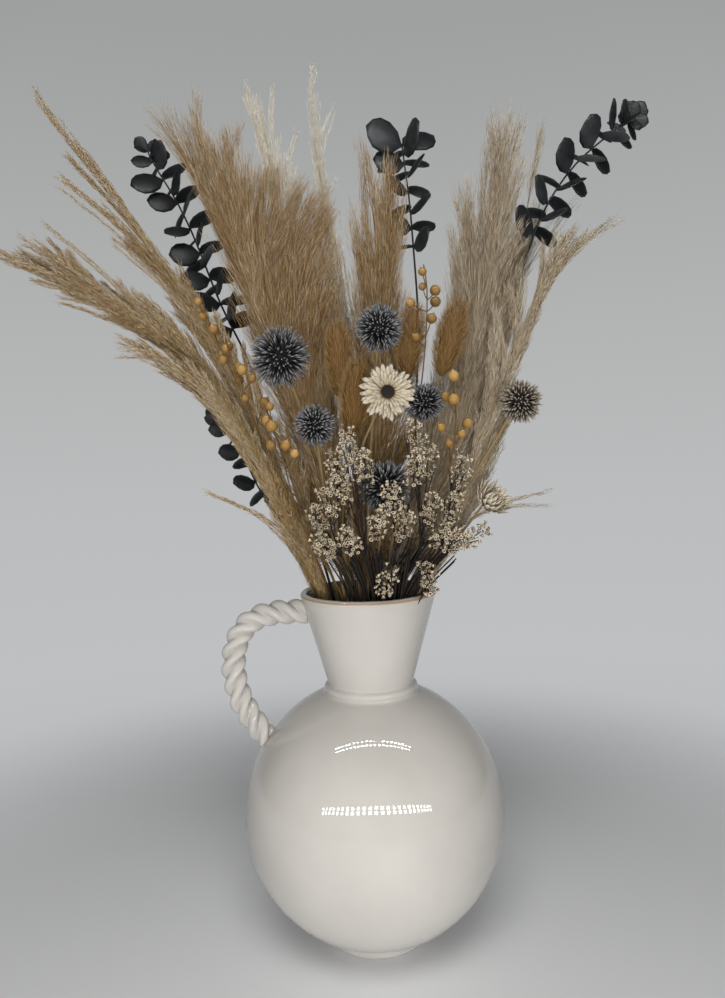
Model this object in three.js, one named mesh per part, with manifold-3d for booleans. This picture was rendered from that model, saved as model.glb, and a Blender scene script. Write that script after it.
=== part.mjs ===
// A bouquet of dried flowers and grasses standing in a round ceramic jug with a twisted rope handle.
// Millimetres, +Z up. The origin is the centre of the jug's flat foot, the handle is towards -X and
// the front of the bouquet, where its flowers face, is towards -Y.

import * as THREE from 'three';
import { mergeVertices } from 'three/addons/utils/BufferGeometryUtils.js';
import Module from 'manifold-3d';

const wasm = await Module();
wasm.setup();

// ---- Driving dimensions: the jug ----
const BODY_RADIUS = 105;
const BODY_CENTRE_Z = 103.5;
const WALL = 5;
const FLOOR = 7;
const FOOT_RADIUS = 41.4;
const COLLAR_RADIUS = 34.2;
const COLLAR_Z = 205.3;
const COLLAR_BEAD = 3.6;
const COLLAR_ROOT_RADIUS = 36.8;
const COLLAR_BEAD_ANGLES = [-35, 60];
const GROOVE_RADIUS = 34.6;
const GROOVE_Z = 209.6;
const FLARE_START_RADIUS = 36.8;
const FLARE_START_Z = 213.2;
const RIM_Z = 283.2;
const FLARE_END_RADIUS = 53.6;
const BORE_RADIUS = 29.6;
const MOUTH_RADIUS = 49.4;
const LIP_RADIUS = 2.8;
const LIP_CENTRE = [52.1, 281];
const LIP_ANGLES = [-20, 170];
const LIP_DROP = 5;
const LIP_INNER_DROP = 3;
const FOOT_BEVEL = 1;
const JUG_SEGMENTS = 28;
const OUTER_ARC_STEPS = 12;
const INNER_ARC_STEPS = 9;
const BEAD_STEPS = 3;
const LIP_STEPS = 4;

// ---- Driving dimensions: the rope handle ----
const ROPE_RADIUS = 8.9;
const STRAND_BULGE = 1.1;
const STRANDS = 3;
const STRAND_PITCH = 42;
const ROPE_SIDES = 10;
const ROPE_STEPS = 45;
const HANDLE_LINE = [
  [-44, 267], [-68, 267.5], [-87, 265], [-102, 254], [-109, 239], [-111, 223],
  [-109, 206], [-102, 189], [-92, 174], [-76, 157],
];

// Gap left between a piece and the piece that it touches.
const GAP = 0.3;

// ---- Driving dimensions: the stems ----
// Stems stand in rows inside the neck, given as [column, row] counted in spacings from the jug's axis,
// and fan out by the same factor between the neck and the mouth. Row -3 is the front one.
const STEM_SPACING = 7.5;
const STEM_FOOT_Z = 12;
const NECK_Z = 203;
const MOUTH_SPREAD = 1.62;

// Plumes: place in the neck, the points that the stem and plume follow above the mouth, the share of
// the stem where the plume begins, and the plume's largest half width and half depth.
const PLUMES = {
  reed_plume_left_high: {
    place: [-2, 1], begin: 0.5, halfWidth: 12, halfDepth: 9, colour: 0xa98f68,
    line: [
      [-70, -10, 382], [-95, -10, 450], [-124, -8, 501], [-161, -8, 559], [-200, -8, 613], [-240, -8, 665],
    ],
  },
  reed_plume_left_low: {
    place: [-3.5, 0], begin: 0.46, halfWidth: 11, halfDepth: 8, colour: 0xab9169,
    line: [
      [-70, -28, 375], [-97, -32, 429], [-129, -32, 471], [-173, -32, 502], [-224, -30, 526], [-274, -30, 551],
    ],
  },
  reed_plume_left_front: {
    place: [-3, -1], begin: 0.5, halfWidth: 9, halfDepth: 7, colour: 0xa68c65,
    line: [[-59, -52, 347], [-76, -57, 391], [-100, -58, 428], [-131, -58, 458], [-167, -56, 477]],
  },
  pampas_plume_golden_left: {
    place: [-1, 1], begin: 0.52, halfWidth: 36, halfDepth: 17, colour: 0xb09267,
    line: [
      [-36, 10, 373], [-56, 12, 438], [-76, 12, 494], [-98, 12, 550], [-120, 12, 605], [-140, 12, 656],
    ],
  },
  pampas_plume_pale_back_left: {
    place: [-1.5, 2], begin: 0.5, halfWidth: 20, halfDepth: 9, colour: 0xd2c5ad,
    line: [[-25, 36, 373], [-50, 43, 506], [-64, 43, 580], [-77, 43, 638], [-85, 43, 684]],
  },
  pampas_plume_pale_back_centre: {
    place: [1.5, 2], begin: 0.5, halfWidth: 18, halfDepth: 9, colour: 0xd6cab4,
    line: [[4, 44, 400], [-16, 56, 524], [-28, 58, 607], [-34, 56, 664], [-35, 54, 710]],
  },
  pampas_plume_golden_centre: {
    place: [0, 1], begin: 0.52, halfWidth: 22, halfDepth: 13, colour: 0xb3956a,
    line: [[10, 12, 400], [17, 13, 483], [16, 13, 539], [13, 13, 594], [10, 12, 640]],
  },
  pampas_plume_grey_right: {
    place: [1, 1], begin: 0.5, halfWidth: 30, halfDepth: 14, colour: 0x9f8f79,
    line: [[48, 4, 338], [73, 1, 409], [91, 0, 480], [102, 0, 542], [113, 0, 595], [124, 0, 648]],
  },
  pampas_plume_grey_back: {
    place: [3, 1], begin: 0.52, halfWidth: 19, halfDepth: 10, colour: 0xa4957f,
    line: [[70, 36, 350], [105, 46, 450], [132, 50, 535], [145, 50, 600], [156, 50, 658]],
  },
  reed_plume_right_low: {
    place: [3.5, 0], begin: 0.48, halfWidth: 12, halfDepth: 8, colour: 0xa89a83,
    line: [
      [70, -17, 338], [95, -25, 409], [116, -27, 462], [136, -27, 508], [160, -25, 541], [190, -22, 564],
    ],
  },
};

// Globe thistles: place in the neck, points of the stalk between the mouth and the head, the head's
// centre and its radius.
const THISTLES = [
  { place: [-1, -1], line: [[-36, -50, 400]], head: [-56, -80, 462], radius: 20.8 },
  { place: [0, -1], line: [[3, -34, 369]], head: [13, -70, 481], radius: 17 },
  { place: [-1.5, -2], line: [[-27, -50, 345]], head: [-34, -80, 414], radius: 14.7 },
  { place: [1, -1], line: [[28, -32, 360]], head: [45, -55, 429], radius: 14.5 },
  { place: [3, -1], line: [[58, -30, 335], [88, -44, 385]], head: [115, -52, 428], radius: 15.4 },
  { place: [0.5, -2], line: [], head: [14, -65, 369], radius: 19.4 },
];

// Strawflowers, as the thistles, with the way that each flower faces.
const STRAWFLOWERS = [
  {
    place: [-0.5, -2], line: [[-11, -56, 362], [-2, -70, 400]],
    head: [17, -88, 435], radius: 19, facing: [0.1, -1, 0.12],
  },
  {
    place: [3, -2], line: [[56, -35, 312]],
    head: [90, -58, 356], radius: 13.4, facing: [0.5, -0.7, 0.55],
  },
];
const FLOWER_DEPTH = 0.62;
// Half section of the bowl of petals: [share of the radius, share of the depth].
const BOWL_SECTION = [[0, -0.9], [0.45, -0.75], [0.9, -0.2], [1, 0.25], [0.45, 0.2], [0, 0.35]];
const BOWL_SIDES = 12;

// Hare's-tail grass heads: half length and radius, with the head lying along the end of its stalk.
const BUNNY_TAILS = [
  { place: [2.5, 0], line: [[44, -22, 380], [57, -30, 441]], head: [76, -30, 507] },
  { place: [0.5, 0], line: [[20, -20, 380], [33, -22, 441]], head: [42, -20, 507] },
  { place: [-0.5, 0], line: [[-12, -22, 370], [-15, -28, 428]], head: [-18, -32, 494] },
  { place: [-1.5, 0], line: [[-18, -20, 350], [-10, -44, 400]], head: [-2, -60, 462] },
];
const BUNNY_HALF_LENGTH = 32;
const BUNNY_RADIUS = 10.5;
const EGG_FACETS = [8, 6];

// Eucalyptus sprigs: the last leaf pairs are at the tip of the line, one pair every LEAF_STEP, each
// pair turned a quarter round from the one below.
const EUCALYPTUS = [
  {
    place: [-2.5, 2], pairs: 9,
    line: [
      [-60, 36, 370], [-85, 47, 441], [-104, 52, 500], [-124, 52, 530],
      [-132, 52, 563], [-143, 52, 596], [-159, 52, 627], [-175, 50, 648],
    ],
  },
  {
    place: [2.5, 2], pairs: 4,
    line: [[42, 38, 400], [50, 46, 500], [47, 47, 566], [45, 46, 600], [40, 46, 646]],
  },
  {
    place: [2, 1], pairs: 8,
    line: [
      [62, 24, 345], [92, 26, 410], [116, 24, 480], [131, 24, 530], [143, 24, 561],
      [153, 24, 593], [172, 24, 618], [195, 24, 636], [218, 24, 652],
    ],
  },
  {
    place: [-3, 1], pairs: 6,
    line: [[-47, 20, 308], [-70, 24, 335], [-85, 24, 361], [-100, 24, 395], [-112, 24, 420]],
  },
];
const LEAF_STEP = 19;
const LEAF_RADIUS = 11.5;
const LEAF_THICKNESS = 0.9;
// The first pair's distance from the tip, its share of the full leaf size and the growth from pair to pair.
const FIRST_PAIR = 3;
const FIRST_LEAF = 0.5;
const LEAF_GROWTH = 0.14;
// How far the leaves lean along the stem, the turn of the first pair, and the share of a leaf's radius
// between the stem and the leaf's middle.
const LEAF_LEAN = 0.45;
const FIRST_TURN = 0.5;
const LEAF_REACH = 0.8;

// Flax sprays: pods hang on short side stalks over the top stretch of each spray.
const FLAX = [
  { place: [1.5, 0], pods: 8, top: 50, line: [[34, -26, 380], [48, -42, 470]], tip: [51, -44, 526] },
  { place: [2, -1], pods: 7, top: 55, line: [[42, -36, 340], [64, -78, 392]], tip: [62, -88, 444] },
  { place: [-2.5, 0], pods: 6, top: 60, line: [[-62, -38, 370], [-88, -48, 440]], tip: [-116, -52, 506] },
  { place: [-2.5, -2], pods: 9, top: 46, line: [[-42, -54, 330], [-68, -80, 400]], tip: [-92, -84, 470] },
  { place: [-1.5, -3], pods: 6, top: 40, line: [[-46, -62, 340], [-56, -90, 392]], tip: [-64, -98, 426] },
];
const POD_RADIUS = 4.3;
// Distance from the tip to where the side stalks start, and how far a side stalk reaches along X, Y and Z.
const POD_START = 8;
const POD_REACH = [9, 6, 7];

// Limonium sprays: a stem that forks at its hub into branches, each with a cluster of florets.
const LIMONIUM = [
  {
    place: [-0.5, -3], hub: [-20, -66, 322],
    clusters: [[-33, -74, 348], [-30, -84, 330], [-26, -90, 362], [-21, -74, 385]],
  },
  {
    place: [0.5, -3], hub: [-2, -74, 326],
    clusters: [[-15, -92, 372], [0, -98, 384], [-10, -84, 398], [-12, -88, 334], [8, -96, 346]],
  },
  {
    place: [1.5, -3], hub: [20, -70, 322],
    clusters: [[18, -98, 362], [34, -92, 382], [26, -86, 344], [14, -66, 302]],
  },
  {
    place: [1.5, -2], hub: [40, -54, 320],
    clusters: [[46, -72, 352], [45, -70, 388], [36, -84, 402], [44, -62, 302], [54, -74, 334]],
  },
  {
    place: [2.4, -2.5], hub: [58, -62, 326],
    clusters: [[68, -66, 380], [72, -48, 376], [68, -70, 328], [78, -54, 330], [62, -68, 352]],
  },
];
const CLUSTER_RADIUS = 7;

const STALK_RADIUS = {
  plume: 1.9, thistle: 1.3, strawflower: 1.1, bunny: 0.9, eucalyptus: 1.3, flax: 0.8, limonium: 1.1,
};
const TWIG_RADIUS = 0.55;
const BRANCH_RADIUS = 0.8;
const SPRIG_STEPS = 14;
const STALK_STEPS = 10;

// ---- Finishes ----
const GLAZE = { color: 0xcfccc5, roughness: 0.18, metalness: 0 };
const STRAW = { color: 0xa58d62, roughness: 0.85, metalness: 0 };
const THISTLE = { color: 0x6f7680, roughness: 0.9, metalness: 0 };
const PETAL = { color: 0xded5c0, roughness: 0.6, metalness: 0 };
const TAIL = { color: 0x8f6838, roughness: 0.95, metalness: 0 };
const LEAF = { color: 0x26292b, roughness: 0.6, metalness: 0 };
const FLAX_GOLD = { color: 0xb0803f, roughness: 0.55, metalness: 0 };
const FLORET = { color: 0xbfb298, roughness: 0.85, metalness: 0 };

const group = new THREE.Group();

// ---- Helpers ----

// The geometry with nothing but positions, its shared vertices merged.
function bare(geometry) {
  geometry.deleteAttribute('normal');
  geometry.deleteAttribute('uv');
  return mergeVertices(geometry);
}

function solidOf(geometry) {
  const merged = bare(geometry);
  return new wasm.Manifold(new wasm.Mesh({
    numProp: 3,
    vertProperties: merged.getAttribute('position').array,
    triVerts: new Uint32Array(merged.index.array),
  }));
}

function geometryOf(solid) {
  const { vertProperties, triVerts } = solid.getMesh();
  const geometry = new THREE.BufferGeometry();
  geometry.setAttribute('position', new THREE.BufferAttribute(vertProperties, 3));
  geometry.setIndex(new THREE.BufferAttribute(triVerts, 1));
  return geometry;
}

// One body made of several that cross each other.
function joined(geometries) {
  return geometryOf(geometries.map(solidOf).reduce((whole, piece) => whole.add(piece)));
}

function addNode(name, geometry, finish) {
  geometry.computeVertexNormals();
  const mesh = new THREE.Mesh(geometry, new THREE.MeshStandardMaterial(finish));
  mesh.name = name;
  group.add(mesh);
}

// A lathe shape about +Z from [radius, height] pairs.
function turned(profile, segments) {
  const points = profile.map(([radius, height]) => new THREE.Vector2(radius, height));
  return new THREE.LatheGeometry(points, segments).rotateX(Math.PI / 2);
}

// Points of an arc about [centreRadius, centreHeight], angles in degrees up from the outward direction.
function arc(centreRadius, centreHeight, radius, from, to, steps) {
  return Array.from({ length: steps + 1 }, (_, i) => {
    const angle = THREE.MathUtils.degToRad(from + ((to - from) * i) / steps);
    return [centreRadius + radius * Math.cos(angle), centreHeight + radius * Math.sin(angle)];
  });
}

// The angle, in degrees up from the outward direction, where a sphere has the given level radius.
function angleAt(levelRadius, sphereRadius) {
  return THREE.MathUtils.radToDeg(Math.acos(levelRadius / sphereRadius));
}

// A closed tube along a curve. Its section is an ellipse whose half axes are functions of the share of
// the way along; the wide one lies across the curve in the X-Z plane. It stops at the share `end`.
function swept(curve, sides, steps, halfWidth, halfDepth = halfWidth, end = 1) {
  const geometry = bare(new THREE.CylinderGeometry(1, 1, 1, sides, steps));
  const position = geometry.getAttribute('position');
  const depthAxis = new THREE.Vector3(0, 1, 0);
  for (let i = 0; i < position.count; i += 1) {
    const share = position.getY(i) + 0.5;
    const centre = curve.getPointAt(share * end);
    const tangent = curve.getTangentAt(share * end);
    const across = new THREE.Vector3().crossVectors(depthAxis, tangent).normalize();
    const through = new THREE.Vector3().crossVectors(across, tangent);
    const angle = Math.atan2(position.getZ(i), position.getX(i));
    centre.addScaledVector(across, position.getX(i) * halfWidth(share, angle));
    centre.addScaledVector(through, position.getZ(i) * halfDepth(share, angle));
    position.setXYZ(i, centre.x, centre.y, centre.z);
  }
  return geometry;
}

function point([x, y, z]) {
  return new THREE.Vector3(x, y, z);
}

// The line of a stem: straight up from the jug's floor, out through the mouth, then along its points.
function stemLine([column, row], line) {
  const x = column * STEM_SPACING;
  const y = row * STEM_SPACING;
  return new THREE.CatmullRomCurve3([
    new THREE.Vector3(x, y, STEM_FOOT_Z),
    new THREE.Vector3(x, y, NECK_Z),
    new THREE.Vector3(x * MOUTH_SPREAD, y * MOUTH_SPREAD, RIM_Z),
    ...line.map(point),
  ]);
}

function stalk(curve, radius, steps, end = 1) {
  return swept(curve, 4, steps, () => radius, () => radius, end);
}

// The point on a stem's line as it is built, with straight stretches between its steps.
function pointOnStalk(curve, steps, share) {
  const step = Math.min(Math.floor(share * steps), steps - 1);
  const [from, to] = [curve.getPointAt(step / steps), curve.getPointAt((step + 1) / steps)];
  return from.lerp(to, share * steps - step);
}

// A straight twig.
function twig(from, to, radius = TWIG_RADIUS) {
  return swept(new THREE.LineCurve3(from, to), 3, 1, () => radius);
}

// Turns and moves a geometry made along +Z so that it points along a direction from a place.
function aimed(geometry, direction, place) {
  const up = new THREE.Vector3(0, 0, 1);
  const turn = new THREE.Quaternion().setFromUnitVectors(up, direction.clone().normalize());
  return geometry.applyQuaternion(turn).translate(place.x, place.y, place.z);
}

// ---- The jug ----

// The outside of the jug from the foot to just under the lip, grown by a clearance.
function jugOutside(clearance = 0) {
  const radius = BODY_RADIUS + clearance;
  const footAngle = -angleAt(FOOT_RADIUS, BODY_RADIUS);
  const collarAngle = angleAt(COLLAR_ROOT_RADIUS, BODY_RADIUS);
  return [
    [FOOT_RADIUS - FOOT_BEVEL, -clearance],
    [FOOT_RADIUS + clearance, FOOT_BEVEL],
    ...arc(0, BODY_CENTRE_Z, radius, footAngle, collarAngle, OUTER_ARC_STEPS),
    ...arc(COLLAR_RADIUS, COLLAR_Z, COLLAR_BEAD + clearance, ...COLLAR_BEAD_ANGLES, BEAD_STEPS),
    [GROOVE_RADIUS + clearance, GROOVE_Z],
    [FLARE_START_RADIUS + clearance, FLARE_START_Z],
    [FLARE_END_RADIUS + clearance, RIM_Z - LIP_DROP],
  ];
}

function jug() {
  const inside = BODY_RADIUS - WALL;
  const floorRadius = Math.sqrt(inside ** 2 - (BODY_CENTRE_Z - FLOOR) ** 2);
  const lip = arc(...LIP_CENTRE, LIP_RADIUS, ...LIP_ANGLES, LIP_STEPS);
  const boreAngle = angleAt(BORE_RADIUS, inside);
  const floorAngle = -angleAt(floorRadius, inside);
  const innerBody = arc(0, BODY_CENTRE_Z, inside, boreAngle, floorAngle, INNER_ARC_STEPS);
  return turned([
    [0, 0],
    ...jugOutside(),
    ...lip,
    [MOUTH_RADIUS, RIM_Z - LIP_INNER_DROP],
    [BORE_RADIUS, GROOVE_Z],
    ...innerBody,
    [0, FLOOR],
  ], JUG_SEGMENTS);
}

addNode('vase_body', jug(), GLAZE);

// ---- The rope handle, cut where it meets the jug ----
function ropeHandle() {
  const curve = new THREE.CatmullRomCurve3(HANDLE_LINE.map(([x, z]) => new THREE.Vector3(x, 0, z)));
  const turns = curve.getLength() / STRAND_PITCH;
  const lobed = (share, angle) => {
    const turned = angle - 2 * Math.PI * turns * share;
    return ROPE_RADIUS + STRAND_BULGE * Math.cos(STRANDS * turned);
  };
  const rope = solidOf(swept(curve, ROPE_SIDES, ROPE_STEPS, lobed));
  const outside = jugOutside(GAP);
  const jugCore = solidOf(turned([[0, -GAP], ...outside, [0, outside.at(-1)[1]]], JUG_SEGMENTS));
  return geometryOf(rope.subtract(jugCore));
}

addNode('vase_handle', ropeHandle(), GLAZE);

// ---- Pampas and reed plumes: one stem each, thin to where the plume begins, then a slim spindle ----
const PLUME_SIDES = 6;
const PLUME_STEPS = 18;
// Below 1 the spindle is fuller and its thickest place is lower.
const SPINDLE_FULLNESS = 0.8;
// The stem's thickness at its foot and the share where the tip stops getting thinner.
const STEM_FOOT_SHARE = 1.25;
const BLUNT_TIP = 0.9999;

function plume({ place, line, begin, halfWidth, halfDepth }) {
  const swell = (share) => {
    const along = Math.max(0, (share - begin) / (1 - begin));
    return Math.sin(Math.PI * along ** SPINDLE_FULLNESS) ** SPINDLE_FULLNESS;
  };
  const stem = (share) => STALK_RADIUS.plume * (STEM_FOOT_SHARE - share);
  const half = (most) => (share) => stem(share) + most * swell(Math.min(share, BLUNT_TIP));
  return swept(stemLine(place, line), PLUME_SIDES, PLUME_STEPS, half(halfWidth), half(halfDepth));
}

Object.entries(PLUMES).forEach(([name, plant]) => {
  addNode(name, plume(plant), { ...STRAW, color: plant.colour });
});

// ---- Flowers with a head on a separate stalk ----

// Adds the stalk up to a head of the given radius, and returns the stalk's direction at the head.
function addStalk(name, { place, line, head }, radius, headRadius, finish) {
  const curve = stemLine(place, [...line, head]);
  const end = 1 - (headRadius + GAP) / curve.getLength();
  addNode(name, stalk(curve, radius, STALK_STEPS, end), finish);
  return curve.getTangentAt(1);
}

THISTLES.forEach((plant, i) => {
  addStalk(`thistle_stalk_${i + 1}`, plant, STALK_RADIUS.thistle, plant.radius, STRAW);
  const head = new THREE.IcosahedronGeometry(plant.radius, 1).translate(...plant.head);
  addNode(`thistle_head_${i + 1}`, bare(head), THISTLE);
});

STRAWFLOWERS.forEach((plant, i) => {
  const depth = plant.radius * FLOWER_DEPTH;
  const back = point(plant.head).addScaledVector(point(plant.facing).normalize(), -depth);
  const stalkPlant = { ...plant, head: back.toArray() };
  addStalk(`strawflower_stalk_${i + 1}`, stalkPlant, STALK_RADIUS.strawflower, 0, STRAW);
  const section = BOWL_SECTION.map(([radius, height]) => [radius * plant.radius, height * depth]);
  const bowl = turned(section, BOWL_SIDES);
  addNode(`strawflower_head_${i + 1}`, aimed(bowl, point(plant.facing), point(plant.head)), PETAL);
});

BUNNY_TAILS.forEach((plant, i) => {
  const headLength = 2 * BUNNY_HALF_LENGTH;
  const along = addStalk(`bunny_tail_stalk_${i + 1}`, plant, STALK_RADIUS.bunny, headLength, STRAW);
  const egg = bare(new THREE.SphereGeometry(1, ...EGG_FACETS));
  egg.scale(BUNNY_RADIUS, BUNNY_HALF_LENGTH, BUNNY_RADIUS);
  const middle = point(plant.head).addScaledVector(along, -BUNNY_HALF_LENGTH);
  addNode(`bunny_tail_head_${i + 1}`, aimed(egg.rotateX(Math.PI / 2), along, middle), TAIL);
});

// ---- Eucalyptus: round leaves in opposite pairs ----
EUCALYPTUS.forEach(({ place, pairs, line }, i) => {
  const curve = stemLine(place, line);
  const length = curve.getLength();
  const pieces = [stalk(curve, STALK_RADIUS.eucalyptus, SPRIG_STEPS)];
  for (let pair = 0; pair < pairs; pair += 1) {
    const share = 1 - (FIRST_PAIR + pair * LEAF_STEP) / length;
    const radius = LEAF_RADIUS * Math.min(1, FIRST_LEAF + LEAF_GROWTH * pair);
    const tangent = curve.getTangentAt(share);
    const quarter = (pair % 2) * (Math.PI / 2) + FIRST_TURN;
    for (const side of [0, Math.PI]) {
      const outward = new THREE.Vector3(Math.cos(quarter + side), 0, Math.sin(quarter + side));
      outward.addScaledVector(tangent, LEAF_LEAN - outward.dot(tangent)).normalize();
      const normal = new THREE.Vector3().crossVectors(outward, tangent).cross(outward);
      normal.add(new THREE.Vector3(0, -1, 0));
      const middle = pointOnStalk(curve, SPRIG_STEPS, share).addScaledVector(outward, radius * LEAF_REACH);
      const leaf = turned([[0, -LEAF_THICKNESS], [radius, 0], [0, LEAF_THICKNESS]], 6);
      pieces.push(aimed(leaf, normal, middle));
    }
  }
  addNode(`eucalyptus_sprig_${i + 1}`, joined(pieces), LEAF);
});

// ---- Flax: pods on side stalks that turn round the stem by the golden angle ----
const GOLDEN_ANGLE = Math.PI * (3 - Math.sqrt(5));

FLAX.forEach(({ place, line, tip, top, pods }, i) => {
  const curve = stemLine(place, [...line, tip]);
  const length = curve.getLength();
  const topPod = new THREE.OctahedronGeometry(POD_RADIUS, 0).translate(...tip);
  const pieces = [stalk(curve, STALK_RADIUS.flax, SPRIG_STEPS), topPod];
  for (let pod = 1; pod < pods; pod += 1) {
    const root = pointOnStalk(curve, SPRIG_STEPS, 1 - (POD_START + (top * pod) / pods) / length);
    const angle = pod * GOLDEN_ANGLE;
    const reach = new THREE.Vector3(Math.cos(angle), Math.sin(angle), 1).multiply(point(POD_REACH));
    const end = root.clone().add(reach);
    const sidePod = new THREE.OctahedronGeometry(POD_RADIUS, 0).translate(end.x, end.y, end.z);
    pieces.push(twig(root, end), sidePod);
  }
  addNode(`flax_spray_${i + 1}`, joined(pieces), FLAX_GOLD);
});

// ---- Limonium: dark forking stems with clusters of pale florets ----
LIMONIUM.forEach(({ place, hub, clusters }, i) => {
  const fork = point(hub);
  const pieces = [stalk(stemLine(place, [hub]), STALK_RADIUS.limonium, STALK_STEPS)];
  clusters.forEach((cluster) => {
    const centre = point(cluster);
    const florets = new THREE.IcosahedronGeometry(CLUSTER_RADIUS, 0).translate(...cluster);
    pieces.push(twig(fork, centre, BRANCH_RADIUS), florets);
  });
  addNode(`limonium_spray_${i + 1}`, joined(pieces), FLORET);
});

export default group;
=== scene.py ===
"""A bouquet of dried grasses and flowers in a round glazed stoneware jug with a rope handle."""

import math

import bmesh
import bpy
import numpy as np
from mathutils import Matrix, Vector


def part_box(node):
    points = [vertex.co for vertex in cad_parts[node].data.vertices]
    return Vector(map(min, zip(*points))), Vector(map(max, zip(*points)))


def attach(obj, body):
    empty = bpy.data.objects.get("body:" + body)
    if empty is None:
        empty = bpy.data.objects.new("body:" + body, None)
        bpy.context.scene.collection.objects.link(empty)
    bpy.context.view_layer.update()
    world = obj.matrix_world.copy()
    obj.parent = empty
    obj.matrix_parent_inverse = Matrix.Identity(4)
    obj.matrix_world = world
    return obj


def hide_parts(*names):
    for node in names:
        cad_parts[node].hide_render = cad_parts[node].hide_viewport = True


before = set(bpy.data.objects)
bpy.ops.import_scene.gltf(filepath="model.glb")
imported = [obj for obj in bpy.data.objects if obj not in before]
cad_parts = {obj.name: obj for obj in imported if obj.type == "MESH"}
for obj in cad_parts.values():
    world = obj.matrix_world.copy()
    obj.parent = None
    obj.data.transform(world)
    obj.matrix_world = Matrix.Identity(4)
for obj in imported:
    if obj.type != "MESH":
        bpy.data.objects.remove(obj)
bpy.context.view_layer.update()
MM = 0.001
GOLDEN_ANGLE = math.pi * (3 - math.sqrt(5))
UP = np.array([0.0, 0.0, 1.0])
BACK = np.array([0.0, 1.0, 0.0])


# ---- Small tools ----

def linear(code):
    """A hex sRGB colour as the linear values that a shader takes."""
    parts = [int(code[i:i + 2], 16) / 255 for i in (1, 3, 5)]
    return [c / 12.92 if c < 0.04045 else ((c + 0.055) / 1.055) ** 2.4 for c in parts] + [1.0]


def node(tree, kind, inputs=None, **settings):
    """Adds a node with its settings, and links or fills its inputs. A kind without Node is a shader's."""
    made = tree.nodes.new(kind if "Node" in kind else "ShaderNode" + kind)
    for name, value in settings.items():
        setattr(made, name, value)
    for key, value in (inputs or {}).items():
        if isinstance(value, bpy.types.NodeSocket):
            tree.links.new(value, made.inputs[key])
        else:
            made.inputs[key].default_value = value
    return made


def unit(vector):
    return vector / np.linalg.norm(vector)


def put_in_scene(name, mesh):
    piece = bpy.data.objects.new(name, mesh)
    bpy.context.scene.collection.objects.link(piece)
    return piece


def as_mesh(shape, name, smooth=True):
    mesh = bpy.data.meshes.new(name)
    shape.to_mesh(mesh)
    shape.free()
    if smooth:
        mesh.shade_smooth()
    return mesh


def turns_of(radius, sides):
    """The angles of a ring's corners. A ring without radius is a point."""
    return [2 * math.pi * k / sides for k in range(sides)] if radius else [0]


def skinned(shape, rings):
    """Closes rings of corners, one after the other, with faces between them and over both ends."""
    for lower, upper in zip(rings, rings[1:]):
        sides = max(len(lower), len(upper))
        for k in range(sides):
            around = (k + 1) % sides
            face = (lower[k % len(lower)], lower[around % len(lower)],
                    upper[around % len(upper)], upper[k % len(upper)])
            shape.faces.new(list(dict.fromkeys(face)))
    for ring in (rings[0][::-1], rings[-1]):
        if len(ring) > 1:
            shape.faces.new(ring)


def hand_in(piece, slot, *nodes):
    """The piece rides on the one body and stands for its CAD nodes, which it hides. The slot is not used."""
    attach(piece, "root")
    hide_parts(*nodes)


# ---- Camera, floor and light ----

LENS = 28.86
CAMERA_PLACE = (-2.2, -639, 398)
LOOKS_DOWN = 3.7
ROLLED = -1.75
FLOOR_RADIUS = 2.4
FLOOR_SOLID, FLOOR_GONE = 0.22, 0.75
WALL_TONES = ((0.0, "#B2B3B4"), (0.25, "#BEC0C2"), (0.45, "#BBBCBD"), (0.65, "#B2B3B3"), (0.95, "#9FA1A1"))
LOW_GLOW, FRONT_DARK = 0.85, 0.11
# Each lamp: its name, place, length, width, watts, what it is aimed at, and the bulbs in it.
LAMPS = (
    ("top strip front", (-0.01, -0.23, 0.80), 0.78, 0.012, 2.2, (-0.01, 0, 0.25), 20),
    ("top strip back", (-0.01, -0.185, 0.80), 0.78, 0.012, 2.2, (-0.01, 0, 0.25), 20),
    ("front strip low", (0.03, -0.70, 0.36), 1.5, 0.034, 3.4, (0.03, 0, 0.25), 24),
    ("front strip high", (0.03, -0.70, 0.41), 1.5, 0.034, 3.4, (0.03, 0, 0.25), 24),
    ("soft key", (-0.05, -1.0, 1.6), 1.0, 0.8, 13.0, (0, 0, 0.25), 0),
    ("front fill", (0.0, -1.25, 0.2), 0.7, 0.5, 14.0, (0, 0, 0.15), 0),
)
BULB_SHARE = 0.5


def make_camera():
    """A hand-held camera a little above the bouquet's middle, looking slightly down."""
    data = bpy.data.cameras.new("camera")
    data.lens = LENS
    camera = bpy.data.objects.new("camera", data)
    bpy.context.scene.collection.objects.link(camera)
    place = Matrix.Translation([value * MM for value in CAMERA_PLACE])
    tilt = Matrix.Rotation(math.radians(90 - LOOKS_DOWN), 4, "X")
    roll = Matrix.Rotation(math.radians(ROLLED), 4, "Z")
    camera.matrix_world = place @ tilt @ roll
    bpy.context.scene.camera = camera


def make_floor():
    """A pale paper floor that fades into the background with distance."""
    shape = bmesh.new()
    bmesh.ops.create_circle(shape, cap_ends=True, segments=96, radius=FLOOR_RADIUS)
    mesh = as_mesh(shape, "floor", smooth=False)
    material, tree, shader = new_material("seamless paper", "#ECEEF1", 0.9)
    place = node(tree, "TexCoord")
    far = node(tree, "VectorMath", {0: place.outputs["Object"]}, operation="LENGTH")
    solid = node(tree, "MapRange", {"Value": far.outputs["Value"], "From Min": FLOOR_SOLID,
                 "From Max": FLOOR_GONE, "To Min": 1.0, "To Max": 0.0}, interpolation_type="SMOOTHSTEP")
    tree.links.new(solid.outputs["Result"], shader.inputs["Alpha"])
    mesh.materials.append(material)
    put_in_scene("floor", mesh)


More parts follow.
